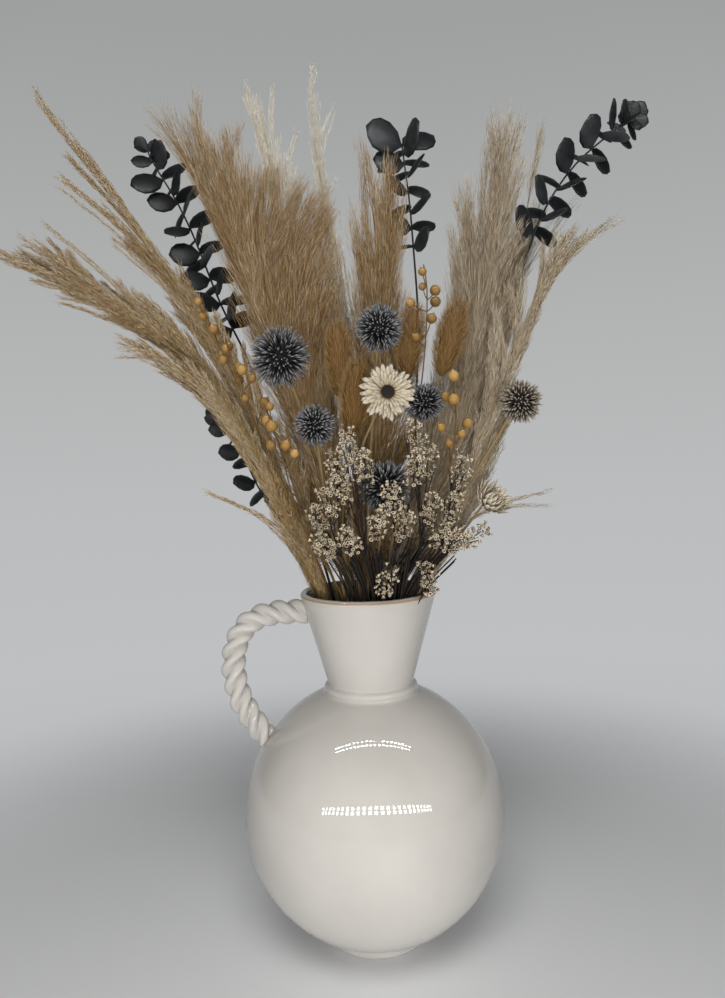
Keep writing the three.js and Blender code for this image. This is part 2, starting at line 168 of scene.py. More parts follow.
def make_lamp(name, centre, length, width, watts, target, bulbs):
    """A lamp that the camera doesn't see. With bulbs, it is a row of small bright squares that only shows
    in the glaze. Without, it is a soft panel that lights and never shows."""
    data = bpy.data.lights.new(name, "AREA")
    data.shape = "RECTANGLE"
    data.size, data.size_y = length, width
    data.energy = watts
    data.color = linear("#FFFDFA")[:3]
    if bulbs:
        data.use_nodes = True
        tree = data.node_tree
        place = node(tree, "NewGeometry").outputs["Parametric"]
        across = node(tree, "SeparateXYZ", {0: place}).outputs["X"]
        step = node(tree, "Math", {0: across, 1: float(bulbs)}, operation="MULTIPLY").outputs[0]
        part = node(tree, "Math", {0: step}, operation="FRACT").outputs[0]
        lit = node(tree, "Math", {0: part, 1: BULB_SHARE}, operation="GREATER_THAN").outputs[0]
        tree.links.new(lit, tree.nodes["Emission"].inputs["Strength"])
    lamp = bpy.data.objects.new(name, data)
    lamp.visible_camera = False
    lamp.visible_diffuse = not bulbs
    lamp.visible_glossy = bool(bulbs)
    bpy.context.scene.collection.objects.link(lamp)
    lamp.location = centre
    lamp.rotation_euler = (Vector(target) - Vector(centre)).to_track_quat("-Z", "Y").to_euler()


def make_light():
    """A pale wall behind and a darker room in front, so that the jug's sides fall off, and the lamps."""
    world = bpy.data.worlds.new("pale room")
    world.use_nodes = True
    tree = world.node_tree
    way = node(tree, "TexCoord").outputs["Generated"]
    parts = node(tree, "SeparateXYZ", {0: way}).outputs
    share = node(tree, "MapRange", {"Value": parts["Z"], "From Min": -0.5, "From Max": 0.5})
    front = node(tree, "MapRange", {"Value": parts["Z"], "From Min": -0.075, "From Max": -0.05,
                 "To Min": LOW_GLOW, "To Max": FRONT_DARK})
    behind = node(tree, "MapRange", {"Value": parts["Y"], "From Min": 0.5, "From Max": 0.86,
                  "To Min": front.outputs[0], "To Max": 1.0}, interpolation_type="SMOOTHSTEP")
    background = tree.nodes["Background"]
    tree.links.new(ramp(tree, share.outputs[0], *WALL_TONES), background.inputs["Color"])
    tree.links.new(behind.outputs[0], background.inputs["Strength"])
    bpy.context.scene.world = world
    for lamp in LAMPS:
        make_lamp(*lamp)
    bpy.context.scene.view_settings.view_transform = "Standard"


# ---- Reading places from the CAD parts ----

INSIDE_END = 0.3 * MM
PLAIN_LEVELS, LEAFY_LEVELS = 90, 260
LINE_POINTS = 60


def corners(name):
    """The corners of a CAD node."""
    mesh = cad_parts[name].data
    places = np.zeros(len(mesh.vertices) * 3)
    mesh.vertices.foreach_get("co", places)
    return places.reshape(-1, 3)


def section_centres(name, count, reach=None):
    """The middle of a stem at evenly spaced heights. With a reach, leaves and pods further than that
    from where the stem is expected are left out."""
    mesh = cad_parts[name].data
    places = corners(name)
    ends = np.zeros(len(mesh.edges) * 2, np.int64)
    mesh.edges.foreach_get("vertices", ends)
    low, high = (places[ends.reshape(-1, 2)[:, k]] for k in (0, 1))
    levels = np.linspace(places[:, 2].min() + INSIDE_END, places[:, 2].max() - INSIDE_END, count)
    centres = []
    for level in levels:
        crossing = (low[:, 2] - level) * (high[:, 2] - level) < 0
        a, b = low[crossing], high[crossing]
        share = (level - a[:, 2]) / (b[:, 2] - a[:, 2])
        found = a + (b - a) * share[:, None]
        if reach and len(centres) > 1:
            guess = 2 * centres[-1] - centres[-2]
            near = found[np.linalg.norm(found - guess, axis=1) < reach]
            found = near if len(near) > 2 else guess[None]
        centres.append((found.min(0) + found.max(0)) / 2)
    return np.array(centres)


def evenly(points, count, soften=2):
    """A line through the points with evenly spaced steps, its small kinks smoothed."""
    steps = np.linalg.norm(np.diff(points, axis=0), axis=1)
    along = np.concatenate([[0], np.cumsum(steps)])
    shares = np.linspace(0, along[-1], count)
    line = np.stack([np.interp(shares, along, points[:, k]) for k in range(3)], 1)
    for _ in range(soften):
        line[1:-1] = (line[:-2] + 2 * line[1:-1] + line[2:]) / 4
    return line


def stem_line(name, reach=None):
    """The middle line of a stem, from its root up."""
    levels = LEAFY_LEVELS if reach else PLAIN_LEVELS
    return evenly(section_centres(name, levels, reach), LINE_POINTS, 4)


def length_of(line):
    return float(np.linalg.norm(np.diff(line, axis=0), axis=1).sum())


def place_on(line, share):
    """The place, direction, sideways and through directions at a share of a line, going on straight past
    its end."""
    spot = share * (len(line) - 1)
    step = int(min(max(math.floor(spot), 0), len(line) - 2))
    along = line[step + 1] - line[step]
    place = line[step] + along * (spot - step)
    across = unit(np.cross(BACK, along))
    return place, unit(along), across, unit(np.cross(across, along))


def centre_and_axis(name, order, towards):
    """The centre of a CAD head, and its longest (0) to shortest (2) axis, the way that towards points."""
    places = corners(name)
    axis = np.linalg.svd(places - places.mean(0), full_matrices=False)[2][order]
    return (places.min(0) + places.max(0)) / 2, axis if axis @ towards > 0 else -axis


# ---- Shapes that repeat ----

def lofted(name, stations, sides, cup=0.0):
    """A closed thin shape from rings (height, half width, half thickness, shift), in millimetres. A ring
    without width is a point. The rings bow by cup times the square of their width. Attribute along runs
    from 0 at the first ring to 1 at the last."""
    shape = bmesh.new()
    layer = shape.verts.layers.float.new("along")
    rings = []
    for height, width, thickness, shift in stations:
        ring = []
        for turn in turns_of(width, sides):
            x = width * math.cos(turn)
            y = thickness * math.sin(turn) + cup * (x * x - width * width / 3) + shift
            vertex = shape.verts.new(Vector((x, y, height)) * MM)
            vertex[layer] = len(rings) / (len(stations) - 1)
            ring.append(vertex)
        rings.append(ring)
    skinned(shape, rings)
    return as_mesh(shape, name)


def lines_mesh(lines, **attributes):
    """Polylines as one mesh of edges, each attribute a list of values per line and point."""
    mesh = bpy.data.meshes.new("lines")
    starts = np.cumsum([0] + [len(line) for line in lines])
    edges = [(k, k + 1) for a, b in zip(starts, starts[1:]) for k in range(a, b - 1)]
    mesh.from_pydata(np.concatenate(lines).tolist(), edges, [])
    for name, values in attributes.items():
        layer = mesh.attributes.new(name, "FLOAT", "POINT")
        layer.data.foreach_set("value", np.concatenate(values).astype(np.float32))
    return mesh


def marks_mesh(marks):
    """Places for repeated shapes: each mark is (place, aim, side, size)."""
    mesh = bpy.data.meshes.new("marks")
    mesh.from_pydata([list(mark[0]) for mark in marks], [], [])
    for column, name in ((1, "aim"), (2, "side")):
        layer = mesh.attributes.new(name, "FLOAT_VECTOR", "POINT")
        layer.data.foreach_set("vector", np.array([mark[column] for mark in marks], np.float32).ravel())
    layer = mesh.attributes.new("size", "FLOAT", "POINT")
    layer.data.foreach_set("value", np.array([mark[3] for mark in marks], np.float32))
    return mesh


# ---- Rules, as geometry node trees ----

def new_rule(name, **inputs):
    """A geometry node tree with named inputs, and the socket of each input."""
    tree = bpy.data.node_groups.new(name, "GeometryNodeTree")
    tree.interface.new_socket("Geometry", in_out="INPUT", socket_type="NodeSocketGeometry")
    tree.interface.new_socket("Geometry", in_out="OUTPUT", socket_type="NodeSocketGeometry")
    for label, kind in inputs.items():
        tree.interface.new_socket(label, in_out="INPUT", socket_type="NodeSocket" + kind)
    return tree, tree.nodes.new("NodeGroupInput").outputs


def end_rule(tree, geometry, material):
    real = node(tree, "GeometryNodeRealizeInstances", {"Geometry": geometry})
    smooth = node(tree, "GeometryNodeSetShadeSmooth", {"Geometry": real.outputs[0]})
    painted = node(tree, "GeometryNodeSetMaterial", {"Geometry": smooth.outputs[0], "Material": material})
    node(tree, "NodeGroupOutput", {"Geometry": painted.outputs[0]})
    return tree


# What each random number is for, as a step added to the seed.
TURN, UNEVEN, SHADE, LEAN, SCATTER = range(1, 6)
SHORTEST, LONGEST = 0.72, 1.25


def random_value(tree, seed, low, high, offset):
    """A random number for each point, from its own seed."""
    own = node(tree, "Math", {0: seed, 1: float(offset)}, operation="ADD").outputs[0]
    return node(tree, "FunctionNodeRandomValue", {2: low, 3: high, "Seed": own}, data_type="FLOAT").outputs[1]


def copies_at(tree, points, given, rotation, scale):
    """Copies of the input shape at points, each with a random shade."""
    shape = node(tree, "GeometryNodeObjectInfo", {"Object": given["Shape"], "As Instance": True})
    copies = node(tree, "GeometryNodeInstanceOnPoints",
                  {"Points": points, "Instance": shape.outputs["Geometry"], "Rotation": rotation, "Scale": scale})
    shade = random_value(tree, given["Seed"], 0.0, 1.0, SHADE)
    stored = node(tree, "GeometryNodeStoreNamedAttribute",
                  {"Geometry": copies.outputs[0], "Name": "shade", "Value": shade}, domain="INSTANCE")
    return stored.outputs[0]


def turned_copies(tree, points, given, base, lean, size):
    """Copies of the input shape, tilted by lean in a random direction and uneven in length."""
    seed = given["Seed"]
    turn = random_value(tree, seed, 0.0, 2 * math.pi, TURN)
    tilt = node(tree, "CombineXYZ", {"X": lean, "Z": turn})
    swing = node(tree, "FunctionNodeEulerToRotation", {0: tilt.outputs[0]})
    aimed = node(tree, "FunctionNodeRotateRotation", {0: base, 1: swing.outputs[0]}, rotation_space="LOCAL")
    uneven = random_value(tree, seed, SHORTEST, LONGEST, UNEVEN)
    long = node(tree, "Math", {0: given["Length"], 1: uneven}, operation="MULTIPLY")
    sized = node(tree, "Math", {0: long.outputs[0], 1: size}, operation="MULTIPLY")
    scale = node(tree, "CombineXYZ",
                 {"X": given["Thickness"], "Y": given["Thickness"], "Z": sized.outputs[0]})
    return copies_at(tree, points, given, aimed.outputs[0], scale.outputs[0])


def bristles_along_lines():
    """Bristles that leave each line at a small angle all the way along, as on a grass panicle."""
    tree, given = new_rule("bristles along lines", Shape="Object", Spacing="Float", Length="Float",
                           Thickness="Float", LeastLean="Float", MostLean="Float", Scatter="Float",
                           Seed="Int", Material="Material")
    curve = node(tree, "GeometryNodeMeshToCurve", {0: given["Geometry"]})
    points = node(tree, "GeometryNodeCurveToPoints", {"Curve": curve.outputs[0], "Length": given["Spacing"]},
                  mode="LENGTH")
    base = node(tree, "FunctionNodeAlignRotationToVector", {"Vector": points.outputs["Tangent"]}, axis="Z")
    lean = random_value(tree, given["Seed"], given["LeastLean"], given["MostLean"], LEAN)
    size = node(tree, "GeometryNodeInputNamedAttribute", {"Name": "size"}, data_type="FLOAT")
    away = {axis: random_value(tree, given["Seed"], -1.0, 1.0, SCATTER + k) for k, axis in enumerate("XYZ")}
    spread = node(tree, "CombineXYZ", away)
    shift = node(tree, "VectorMath", {0: spread.outputs[0], "Scale": given["Scatter"]},
                 operation="SCALE")
    loose = node(tree, "GeometryNodeSetPosition",
                 {"Geometry": points.outputs["Points"], "Offset": shift.outputs[0]})
    copies = turned_copies(tree, loose.outputs[0], given, base.outputs[0], lean, size.outputs[0])
    return end_rule(tree, copies, given["Material"])


# More points per square metre than any spacing leaves room for, so that the spacing alone decides.
CROWDED = 4e6


def bristles_on_skin():
    """Bristles or spikes that stand on a skin, swept towards one direction."""
    tree, given = new_rule("bristles on a skin", Shape="Object", Spacing="Float", Length="Float",
                           Thickness="Float", MostLean="Float", Sweep="Vector", Seed="Int",
                           Material="Material")
    points = node(tree, "GeometryNodeDistributePointsOnFaces", {"Mesh": given["Geometry"],
                  "Distance Min": given["Spacing"], "Density Max": CROWDED, "Seed": given["Seed"]},
                  distribute_method="POISSON")
    swept = node(tree, "VectorMath", {0: points.outputs["Normal"], 1: given["Sweep"]},
                 operation="ADD")
    base = node(tree, "FunctionNodeAlignRotationToVector", {"Vector": swept.outputs[0]}, axis="Z")
    lean = random_value(tree, given["Seed"], 0.0, given["MostLean"], LEAN)
    copies = turned_copies(tree, points.outputs["Points"], given, base.outputs[0], lean, 1.0)
    return end_rule(tree, copies, given["Material"])


def shapes_at_marks():
    """One copy of a shape at each mark, its height along aim and its width along side."""
    tree, given = new_rule("shapes at marks", Shape="Object", Seed="Int", Material="Material")
    aim, side, size = (
        node(tree, "GeometryNodeInputNamedAttribute", {"Name": name}, data_type=kind).outputs[0]
        for name, kind in (("aim", "FLOAT_VECTOR"), ("side", "FLOAT_VECTOR"), ("size", "FLOAT")))
    upright = node(tree, "FunctionNodeAlignRotationToVector", {"Vector": aim}, axis="Z")
    faced = node(tree, "FunctionNodeAlignRotationToVector",
                 {"Rotation": upright.outputs[0], "Vector": side}, axis="X", pivot_axis="Z")
    copies = copies_at(tree, given["Geometry"], given, faced.outputs[0], size)
    return end_rule(tree, copies, given["Material"])


def stems_on_lines():
    """Round stems along lines, as thick as the radius attribute says."""
    tree, given = new_rule("stems on lines", Sides="Int", Material="Material")
    curve = node(tree, "GeometryNodeMeshToCurve", {0: given["Geometry"]})
    radius = node(tree, "GeometryNodeInputNamedAttribute", {"Name": "radius"}, data_type="FLOAT")
    ring = node(tree, "GeometryNodeCurvePrimitiveCircle", {"Resolution": given["Sides"], "Radius": 1.0})
    tube = node(tree, "GeometryNodeCurveToMesh", {"Curve": curve.outputs[0], "Profile Curve": ring.outputs[0],
                "Scale": radius.outputs[0], "Fill Caps": True})
    return end_rule(tree, tube.outputs[0], given["Material"])


def grown(name, start, rule, **values):
    """The plain mesh that a rule makes from a starting mesh, as a new object."""
    carrier = put_in_scene(name + "_start", start)
    modifier = carrier.modifiers.new("rule", "NODES")
    modifier.node_group = rule
    for item in rule.interface.items_tree:
        if item.in_out == "INPUT" and item.name in values:
            modifier[item.identifier] = values[item.name]
    graph = bpy.context.evaluated_depsgraph_get()
    mesh = bpy.data.meshes.new_from_object(carrier.evaluated_get(graph))
    mesh.name = name
    bpy.data.objects.remove(carrier)
    return put_in_scene(name, mesh)


def shape_object(mesh):
    """Holds a mesh for the rules to copy. It isn't in the scene, so it isn't shown."""
    return bpy.data.objects.new(mesh.name, mesh)


RULES = {
    "along": bristles_along_lines(),
    "skin": bristles_on_skin(),
    "marks": shapes_at_marks(),
    "stems": stems_on_lines(),
}


# ---- Materials ----

PLANT_IOR = 1.45


def new_material(name, colour, roughness, ior=1.5):
    material = bpy.data.materials.new(name)
    material.use_nodes = True
    shader = material.node_tree.nodes["Principled BSDF"]
    shader.inputs["Roughness"].default_value = roughness
    shader.inputs["IOR"].default_value = ior
    if colour:
        shader.inputs["Base Color"].default_value = linear(colour)
    return material, material.node_tree, shader


def attribute(tree, name):
    return node(tree, "Attribute", attribute_name=name).outputs["Fac"]


def ramp(tree, value, *stops):
    """A colour ramp from (place, hex colour) stops."""
    made = node(tree, "ValToRGB", {0: value})
    bar = made.color_ramp.elements
    while len(bar) < len(stops):
        bar.new(0.5)
    for element, (place, code) in zip(bar, stops):
        element.position = place
        element.color = linear(code)
    return made.outputs["Color"]


def blend_of(tree, *weighted):
    """The weighted sum of values."""
    total = 0.0
    for value, weight in weighted:
        total = node(tree, "Math", {0: value, 1: weight, 2: total}, operation="MULTIPLY_ADD").outputs[0]
    return total


def toned(name, roughness, weights, *stops, ior=PLANT_IOR, glow=0.0):
    """A matt surface coloured by the weighted sum of its attributes, that lets some light through."""
    material, tree, shader = new_material(name, None, roughness, ior)
    tone = blend_of(tree, *[(attribute(tree, label), weight) for label, weight in weights.items()])
    colour = ramp(tree, tone, *stops)
    tree.links.new(colour, shader.inputs["Base Color"])
    if glow:
        through = node(tree, "BsdfTranslucent", {"Color": colour})
        both = node(tree, "MixShader", {0: glow, 1: shader.outputs[0], 2: through.outputs[0]})
        tree.links.new(both.outputs[0], tree.nodes["Material Output"].inputs["Surface"])
    return material


def dried_grass(name, *stops, glow=0.35):
    """Dried grass hairs: matt straw, thin enough for light to come through, each strand its own tone, and paler
    towards each hair's tip: a painted glow of light through the thin tips.
    """
    return toned(name, 0.6, dict(shade=0.3, tone=0.4, along=0.3), *stops, glow=glow)


def glazed_stoneware():
    """Stoneware under a glossy off-white glaze. It breaks to tan where it runs thin over an edge."""
    material, tree, shader = new_material("glazed stoneware", None, 0.025, 1.56)
    place = node(tree, "TexCoord").outputs["Object"]
    cloud = node(tree, "TexNoise", {"Vector": place, "Scale": 14.0, "Detail": 3.0})
    body = ramp(tree, cloud.outputs["Fac"], (0.35, "#B4B1AC"), (0.65, "#BCB9B4"))
    edge = node(tree, "Mix", {0: attribute(tree, "thin_glaze"), 6: body, 7: linear("#A08A70")},
                data_type="RGBA")
    tree.links.new(edge.outputs[2], shader.inputs["Base Color"])
    ripple = node(tree, "TexNoise", {"Vector": place, "Scale": 55.0, "Detail": 2.0})
    bump = node(tree, "Bump",
                {"Strength": 0.03, "Distance": 0.4 * MM, "Height": ripple.outputs["Fac"]})
    tree.links.new(bump.outputs[0], shader.inputs["Normal"])
    return material


# ---- The jug ----

JUG_LOW, JUG_HIGH = (np.array(corner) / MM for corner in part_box("vase_body"))
BODY_RADIUS = (JUG_HIGH[0] - JUG_LOW[0]) / 2
BODY_CENTRE = BODY_RADIUS - 1.5
JUG_HEIGHT = JUG_HIGH[2]
WALL = 5.0
FOOT_RADIUS, FOOT_TOP = 41.4, 7
SHOULDER_RADIUS = 38.2
COLLAR_HEIGHT, COLLAR_RADIUS, COLLAR_BEAD = 205.3, 34.1, 3.7
NECK_FOOT_RADIUS, NECK_FOOT = 34.9, 211
RIM_RADIUS, LIP = 54.5, 2.7
MOUTH_RADIUS, BORE_RADIUS = 49.6, 29.6
GLAZE_BREAK = 1.0
JUG_SIDES = 176


def arc(centre_radius, centre_height, radius, start, end, steps):
    """Points of an arc, angles in degrees up from the outward direction."""
    turns = np.radians(np.linspace(start, end, steps))
    return [(centre_radius + radius * math.cos(t), centre_height + radius * math.sin(t)) for t in turns]


def jug_profile():
    """The jug's section from the middle of the foot, over the lip and down inside: (radius, height, thin
    glaze)."""
    foot = math.degrees(math.asin((FOOT_TOP - BODY_CENTRE) / BODY_RADIUS))
    shoulder = math.degrees(math.acos(SHOULDER_RADIUS / BODY_RADIUS))
    inside = BODY_RADIUS - WALL
    outer = [(0, 0), (FOOT_RADIUS - 1.6, 0), (FOOT_RADIUS - 0.5, 0.4), (FOOT_RADIUS, 1.6),
             (FOOT_RADIUS + 0.1, 5.2)]
    outer += arc(0, BODY_CENTRE, BODY_RADIUS, foot + 0.6, shoulder, 90)
    outer += arc(COLLAR_RADIUS, COLLAR_HEIGHT, COLLAR_BEAD, -42, 66, 10)
    outer += [(NECK_FOOT_RADIUS - 0.3, NECK_FOOT - 1.7), (NECK_FOOT_RADIUS - 0.4, NECK_FOOT - 1.1),
              (NECK_FOOT_RADIUS, NECK_FOOT)]
    flare, rise = RIM_RADIUS - 1.4 - NECK_FOOT_RADIUS, JUG_HEIGHT - 7.5 - NECK_FOOT
    neck = [(NECK_FOOT_RADIUS + flare * t, NECK_FOOT + rise * t) for t in np.linspace(0.05, 1, 18)]
    crest = JUG_HEIGHT - LIP
    lip = [(RIM_RADIUS - 1.5, JUG_HEIGHT - 6.6)] + arc(RIM_RADIUS - 2.6, crest, LIP, -30, 160, 16)
    inner = [(MOUTH_RADIUS, JUG_HEIGHT - 6), (BORE_RADIUS + 1, NECK_FOOT + 1), (BORE_RADIUS, 207)]
    cavity = arc(0, BODY_CENTRE, inside, math.degrees(math.acos(BORE_RADIUS / inside)), -75, 40)
    profile = outer + neck + lip + inner + cavity + [(0, 7)]
    return [(r, z, float(abs(z - crest - 0.9) < GLAZE_BREAK and r > RIM_RADIUS - 2.0)) for r, z in profile]


def turned(name, profile, segments, label):
    """A closed shape turned about the upright axis from (radius, height, value) points. The label names
    the attribute that holds the values."""
    shape = bmesh.new()
    layer = shape.verts.layers.float.new(label)
    rings = []
    for radius, height, value in profile:
        ring = [shape.verts.new(Vector((radius * math.cos(t), radius * math.sin(t), height)) * MM)
                for t in turns_of(radius, segments)]
        for vertex in ring:
            vertex[layer] = value
        rings.append(ring)
    skinned(shape, rings)
    return as_mesh(shape, name)


def make_jug(glaze):
    mesh = turned("jug", jug_profile(), JUG_SIDES, "thin_glaze")
    mesh.materials.append(glaze)
    hand_in(put_in_scene("jug", mesh), "glazed_stoneware", "vase_body")


# ---- The rope handle ----

STRAND_RADIUS = 5.0
STRAND_OFFSET = 5.1
STRAND_PITCH = 42.0
STRAND_TURN = 2 * math.pi / 3
ROPE_SIDES = 54
BOW_MIDDLE = (-72.0, 0.0, 214.0)
SECTORS, SECTOR_REACH = range(-66, 112, 7), 6
INTO_SHOULDER, INTO_NECK = 9, 5


def handle_line():
    """The middle line of the handle, from sectors of its CAD shape about the middle of its bow, carried
    on a little way into the jug at both ends."""
    places = corners("vase_handle") / MM
    turns = np.arctan2(places[:, 2] - BOW_MIDDLE[2], -(places[:, 0] - BOW_MIDDLE[0]))
    middles = []
    for level in np.radians(SECTORS):
        near = places[np.abs(turns - level) < math.radians(SECTOR_REACH)]
        if len(near) > 8:
            middles.append((near.min(0) + near.max(0)) / 2 * [1, 0, 1])
    line = evenly(np.array(middles), 60, 6)
    low, high = unit(line[0] - line[3]), unit(line[-1] - line[-4])
    return evenly(np.vstack([line[0] + low * INTO_SHOULDER, line, line[-1] + high * INTO_NECK]), 300, 10)


def make_handle(glaze):
    """Three rolled strands twisted into a rope, softened by the glaze."""
    line = handle_line()
    length = length_of(line)
    shape = bmesh.new()
    thin = shape.verts.layers.float.new("thin_glaze")
    rings = []
    for k, spot in enumerate(line):
        ahead = unit(line[min(k + 1, len(line) - 1)] - line[max(k - 1, 0)])
        out = unit(np.cross(BACK, ahead))
        twist = 2 * math.pi * (length * k / (len(line) - 1)) / STRAND_PITCH
        ring = []
        for angle in turns_of(1, ROPE_SIDES):
            off = (angle - twist + STRAND_TURN / 2) % STRAND_TURN - STRAND_TURN / 2
            across = math.sqrt(STRAND_RADIUS ** 2 - (STRAND_OFFSET * math.sin(off)) ** 2)
            radius = STRAND_OFFSET * math.cos(off) + across
            place = spot + (out * math.cos(angle) + BACK * math.sin(angle)) * radius
            vertex = shape.verts.new(Vector(place) * MM)
            vertex[thin] = 0.0
            ring.append(vertex)
        rings.append(ring)
    skinned(shape, rings)
    bmesh.ops.recalc_face_normals(shape, faces=shape.faces)
    mesh = as_mesh(shape, "rope_handle")
    mesh.materials.append(glaze)
    hand_in(put_in_scene("rope_handle", mesh), "glazed_stoneware", "vase_handle")


# ---- Grass plumes ----

OUTLINE_POINTS = 90
# Where a branch bends, as a share of its length; how strongly branch ends gather towards the outline; and
# how near the outline the last ones come.
KNEE, GATHER, NEARLY_THERE = 0.45, 0.55, 0.95
LEAST_WIDTH = 3 * MM
HAIRS_PER_PIECE = 31000
STEM_FOOT, STEM_TOP = 2.0, 0.6


def strand(line, root, end, points=9, sway=0.0):
    """A branch that leaves a stem line at the share root, along it at first, and bends over to its end.
    The sway pushes its middle to one side."""
    place, ahead, _, _ = place_on(line, root)
    knee = place + ahead * KNEE * np.linalg.norm(end - place) + sway
    t = np.linspace(0, 1, points)[:, None]
    return (1 - t) ** 2 * place + 2 * t * (1 - t) * knee + t ** 2 * end


def plume_branches(line, habit, dice):
    """Branches of a panicle, gathered in locks, as (points, tone) pairs. Each leaves the stem below its
    tip and ends inside the outline, a line of (across, up) places from the plume's left foot to its
    right. The tips are a few longer branches: where each starts and ends, its tone, and how many."""
    outline = evenly(np.array([(x, 0, z) for x, z in habit["outline"]]) * MM, OUTLINE_POINTS, 0)
    shares = np.linspace(0, 1, len(line))
    middles = np.array([place_on(line, np.interp(edge[2], line[:, 2], shares))[0] for edge in outline])
    outline[:, 1] = middles[:, 1]
    widths = np.linalg.norm(outline - middles, axis=1) + LEAST_WIDTH
    made = []
    for own in dice.choice(len(outline), habit["locks"], p=widths / widths.sum()):
        edge, middle = outline[own], middles[own]
        inside = dice.uniform(0.0, 1.0) ** GATHER
        tip = middle + (edge - middle) * inside * NEARLY_THERE
        tip[1] += habit["depth"] * math.sqrt(1.02 - inside ** 2) * dice.uniform(-1, 1) * MM
        level = np.interp(tip[2], line[:, 2], shares)
        root = max(habit["begin"], level - habit["reach"] * dice.uniform(0.6, 1.3))
        tone = dice.uniform(0, habit["contrast"])
        sway = dice.normal(0, habit["sway"], 3) * MM
        for _ in range(habit["strands"]):
            off = dice.normal(0, 1, 3) * [habit["loose"], habit["loose"], 2 * habit["loose"]] * MM
            path = strand(line, root + dice.uniform(-0.012, 0.012), tip + off, sway=sway)
            made.append((path, tone + dice.uniform(0, 0.2)))
    for root, end, tone, count in habit["tips"]:
        for _ in range(count):
            away = np.array(end) + dice.normal(0, 1, 3) * [1.2, 1.5, 4]
            path = strand(line, root + dice.uniform(0, 0.06), away * MM, 20)
            made.append((path, tone + dice.uniform(0, 0.15)))
    return made


def make_plume(name, habit, hair_habit, material, slot, seed):
    """A plume as hairs along its branches, in pieces of a bounded size, and its bare stem."""
    dice = np.random.default_rng(seed)
    line = stem_line(name)
    branches = plume_branches(line, habit, dice)
    lines = [path for path, _ in branches]
    low, high = line[0, 2] + habit["begin"] * (line[-1, 2] - line[0, 2]), line[-1, 2]
    sizes, tones, radii = [], [], []
    for path, tone in branches:
        t = np.linspace(0, 1, len(path))
        fine = 1 - 0.5 * np.maximum(0, (t - 0.6) / 0.4)
        sizes.append(dice.uniform(0.8, 1.15) * fine)
        # Each branch grows paler towards its tip, painted light on the lit tips, and the plume grows paler
        # towards its top, partly its own bleached colour and partly painted light.
        progress = np.clip((path[:, 2] - low) / (high - low), 0, 1)
        tones.append(np.clip(tone + 0.12 * t + habit["bleached_and_lit"] * progress ** 1.5, 0, 1))
        radii.append((0.3 - 0.22 * t) * MM)
    spacing = sum(length_of(path) for path in lines) / habit["hairs"]
    parts = math.ceil(habit["hairs"] / HAIRS_PER_PIECE)
    for part in range(parts):
        start = lines_mesh(lines[part::parts], size=sizes[part::parts], tone=tones[part::parts])
        hairs = grown(f"{name}_hairs_{part + 1}", start, RULES["along"], Material=material, Seed=seed,
                      Spacing=spacing, **hair_habit)
        hand_in(hairs, slot, name)
    stem = evenly(np.array([place_on(line, t)[0] for t in np.linspace(0, 0.93, LINE_POINTS)]), LINE_POINTS, 1)
    thickness = np.linspace(STEM_FOOT, STEM_TOP, LINE_POINTS) * MM
    stems = lines_mesh([stem] + lines, radius=[thickness] + radii, tone=[np.full(LINE_POINTS, 0.4)] + tones)
    twigs = grown(name + "_stem", stems, RULES["stems"], Material=material, Sides=3)
    hand_in(twigs, slot, name)


HAIR = shape_object(lofted("hair", [(0, 0, 0, 0), (0.4, 1.0, 0.7, 1.4), (1.0, 0, 0, 11.0)], 3))
